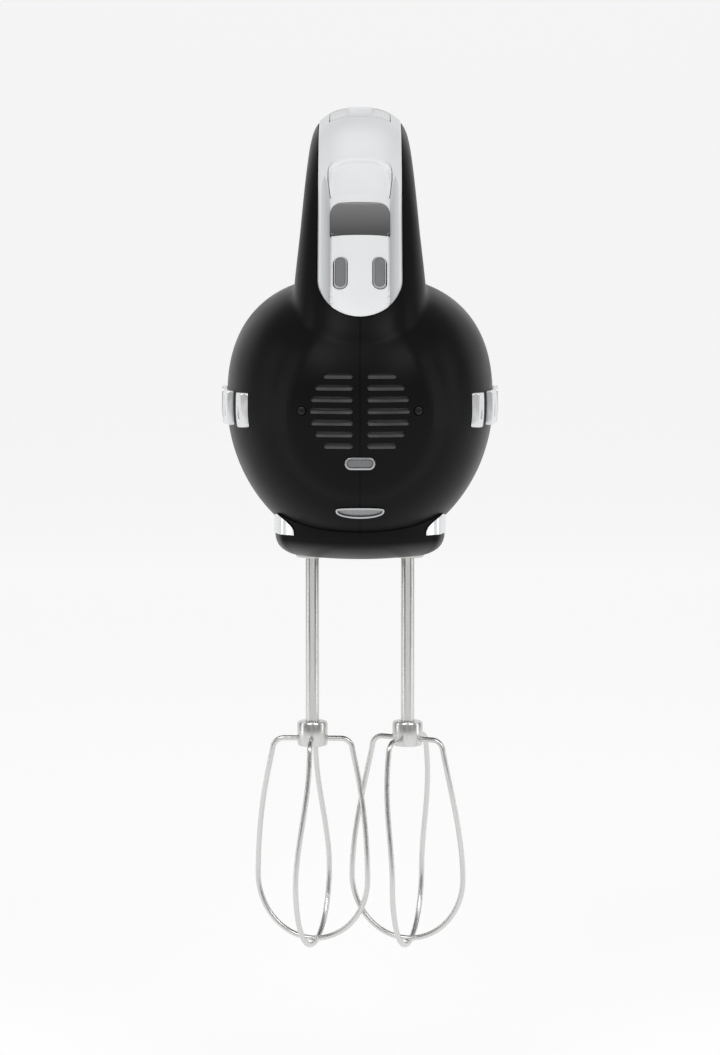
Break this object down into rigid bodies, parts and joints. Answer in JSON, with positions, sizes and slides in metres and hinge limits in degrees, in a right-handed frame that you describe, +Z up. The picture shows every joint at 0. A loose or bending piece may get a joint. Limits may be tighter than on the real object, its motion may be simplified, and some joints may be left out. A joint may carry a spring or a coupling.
{
  "type": "hand mixer",
  "caption": "Black hand mixer with a closed loop handle, bright trims, control band with display, turbo and eject buttons, worm gearbox and wire beaters.",
  "frame": {"origin": "midway between the two spindle axes, on the flat underside of the base plate", "axes": "+Z up along the spindles towards the handle, +Y towards the heel so the nose faces -Y, +X to the right of someone looking at the nose"},
  "size_m": [0.0984, 0.2007, 0.3013],
  "materials": {
    "housing_black": "satin black moulding",
    "chrome": "chrome plated",
    "satin_silver": "satin silver",
    "steel": "polished",
    "grey_button": "matte grey",
    "dark_screw": "blackened",
    "display": "glossy dark window",
    "rubber": "matt",
    "white_nylon": "moulded",
    "gear_nylon": "moulded",
    "circuit_board": "solder mask",
    "copper": "wound enamelled wire or drawn copper",
    "lamination": "stacked steel sheet",
    "bronze": "sintered",
    "carbon": "pressed carbon",
    "aluminium": "extruded"
  },
  "bodies": {
    "housing": {"left_shell": "housing_black", "right_shell": "housing_black", "base_plate": "housing_black", "left_trim": "chrome", "right_trim": "chrome", "left_badge": "chrome", "right_badge": "chrome", "nose_crescent": "chrome", "handle_band": "satin_silver", "display_window": "display", "display_board": "circuit_board", "control_board": "circuit_board", "heat_sink": "aluminium", "vent_screen": "grey_button", "left_nose_screw": "dark_screw", "right_nose_screw": "dark_screw", "base_screw_1": "steel", "base_screw_2": "steel", "base_screw_3": "steel", "base_screw_4": "steel", "heel_pad": "rubber", "cord_gland": "rubber", "eject_spring": "steel", "gearbox_tray": "white_nylon", "gearbox_cover": "white_nylon", "left_socket_bush": "white_nylon", "right_socket_bush": "white_nylon", "front_bearing": "bronze", "middle_bearing": "bronze", "rear_bearing": "bronze", "stator_core": "lamination", "left_field_coil": "copper", "right_field_coil": "copper", "motor_bracket": "steel", "left_brush": "carbon", "right_brush": "carbon"},
    "power_switch": {"power_switch": "satin_silver"},
    "speed_up": {"speed_up_button": "grey_button"},
    "speed_down": {"speed_down_button": "grey_button"},
    "turbo": {"turbo_button": "grey_button"},
    "ejector": {"eject_button": "satin_silver", "eject_plunger": "white_nylon"},
    "rotor": {"motor_shaft": "steel", "armature": "lamination", "commutator": "copper", "cooling_fan": "white_nylon"},
    "left_spindle_set": {"left_spindle": "steel", "left_worm_wheel": "gear_nylon"},
    "left_pin": {"left_eject_pin": "steel"},
    "left_beater": {"left_beater_shaft": "steel", "left_beater_hub": "steel", "left_beater_loop_a": "steel", "left_beater_loop_b": "steel"},
    "right_spindle_set": {"right_spindle": "steel", "right_worm_wheel": "gear_nylon"},
    "right_pin": {"right_eject_pin": "steel"},
    "right_beater": {"right_beater_shaft": "steel", "right_beater_hub": "steel", "right_beater_loop_a": "steel", "right_beater_loop_b": "steel"}
  },
  "joints": [
    {"name": "left_spindle_spin", "type": "hinge", "parent": "housing", "child": "left_spindle_set", "pos_m": [-0.017, 0, 0], "axis": [0, 0, 1], "continuous": true},
    {"name": "right_spindle_spin", "type": "hinge", "parent": "housing", "child": "right_spindle_set", "pos_m": [0.017, 0, 0], "axis": [0, 0, 1], "continuous": true},
    {"name": "rotor_spin", "type": "hinge", "parent": "housing", "child": "rotor", "pos_m": [0, 0, 0.048], "axis": [0, 1, 0], "continuous": true},
    {"name": "eject_press", "type": "slide", "parent": "housing", "child": "ejector", "axis": [0, 0, -1], "range_m": [0, 0.005], "stiffness_N_per_m": 400, "springref_m": -0.002, "deforming": ["eject_spring"]},
    {"name": "left_pin_push", "type": "slide", "parent": "left_spindle_set", "child": "left_pin", "axis": [0, 0, -1], "range_m": [0, 0.005]},
    {"name": "right_pin_push", "type": "slide", "parent": "right_spindle_set", "child": "right_pin", "axis": [0, 0, -1], "range_m": [0, 0.005]},
    {"name": "left_beater_pull", "type": "slide", "parent": "left_pin", "child": "left_beater", "axis": [0, 0, -1], "range_m": [0, 0.05]},
    {"name": "right_beater_pull", "type": "slide", "parent": "right_pin", "child": "right_beater", "axis": [0, 0, -1], "range_m": [0, 0.05]},
    {"name": "speed_up_press", "type": "slide", "parent": "housing", "child": "speed_up", "axis": [0, 0.8148, -0.5797], "range_m": [0, 0.0008], "stiffness_N_per_m": 500, "springref_m": -0.0008},
    {"name": "speed_down_press", "type": "slide", "parent": "housing", "child": "speed_down", "axis": [0, 0.8148, -0.5797], "range_m": [0, 0.0008], "stiffness_N_per_m": 500, "springref_m": -0.0008},
    {"name": "turbo_press", "type": "slide", "parent": "housing", "child": "turbo", "axis": [0, 1, 0], "range_m": [0, 0.0009], "stiffness_N_per_m": 500, "springref_m": -0.0008},
    {"name": "power_slide", "type": "slide", "parent": "housing", "child": "power_switch", "axis": [0, 1, 0], "range_m": [0, 0.006]}
  ],
  "couplings": [
    {"joint": "right_spindle_spin", "follows": "left_spindle_spin", "ratio": -1},
    {"joint": "rotor_spin", "follows": "left_spindle_spin", "ratio": 12},
    {"joint": "left_pin_push", "follows": "eject_press", "ratio": 1},
    {"joint": "right_pin_push", "follows": "eject_press", "ratio": 1}
  ]
}
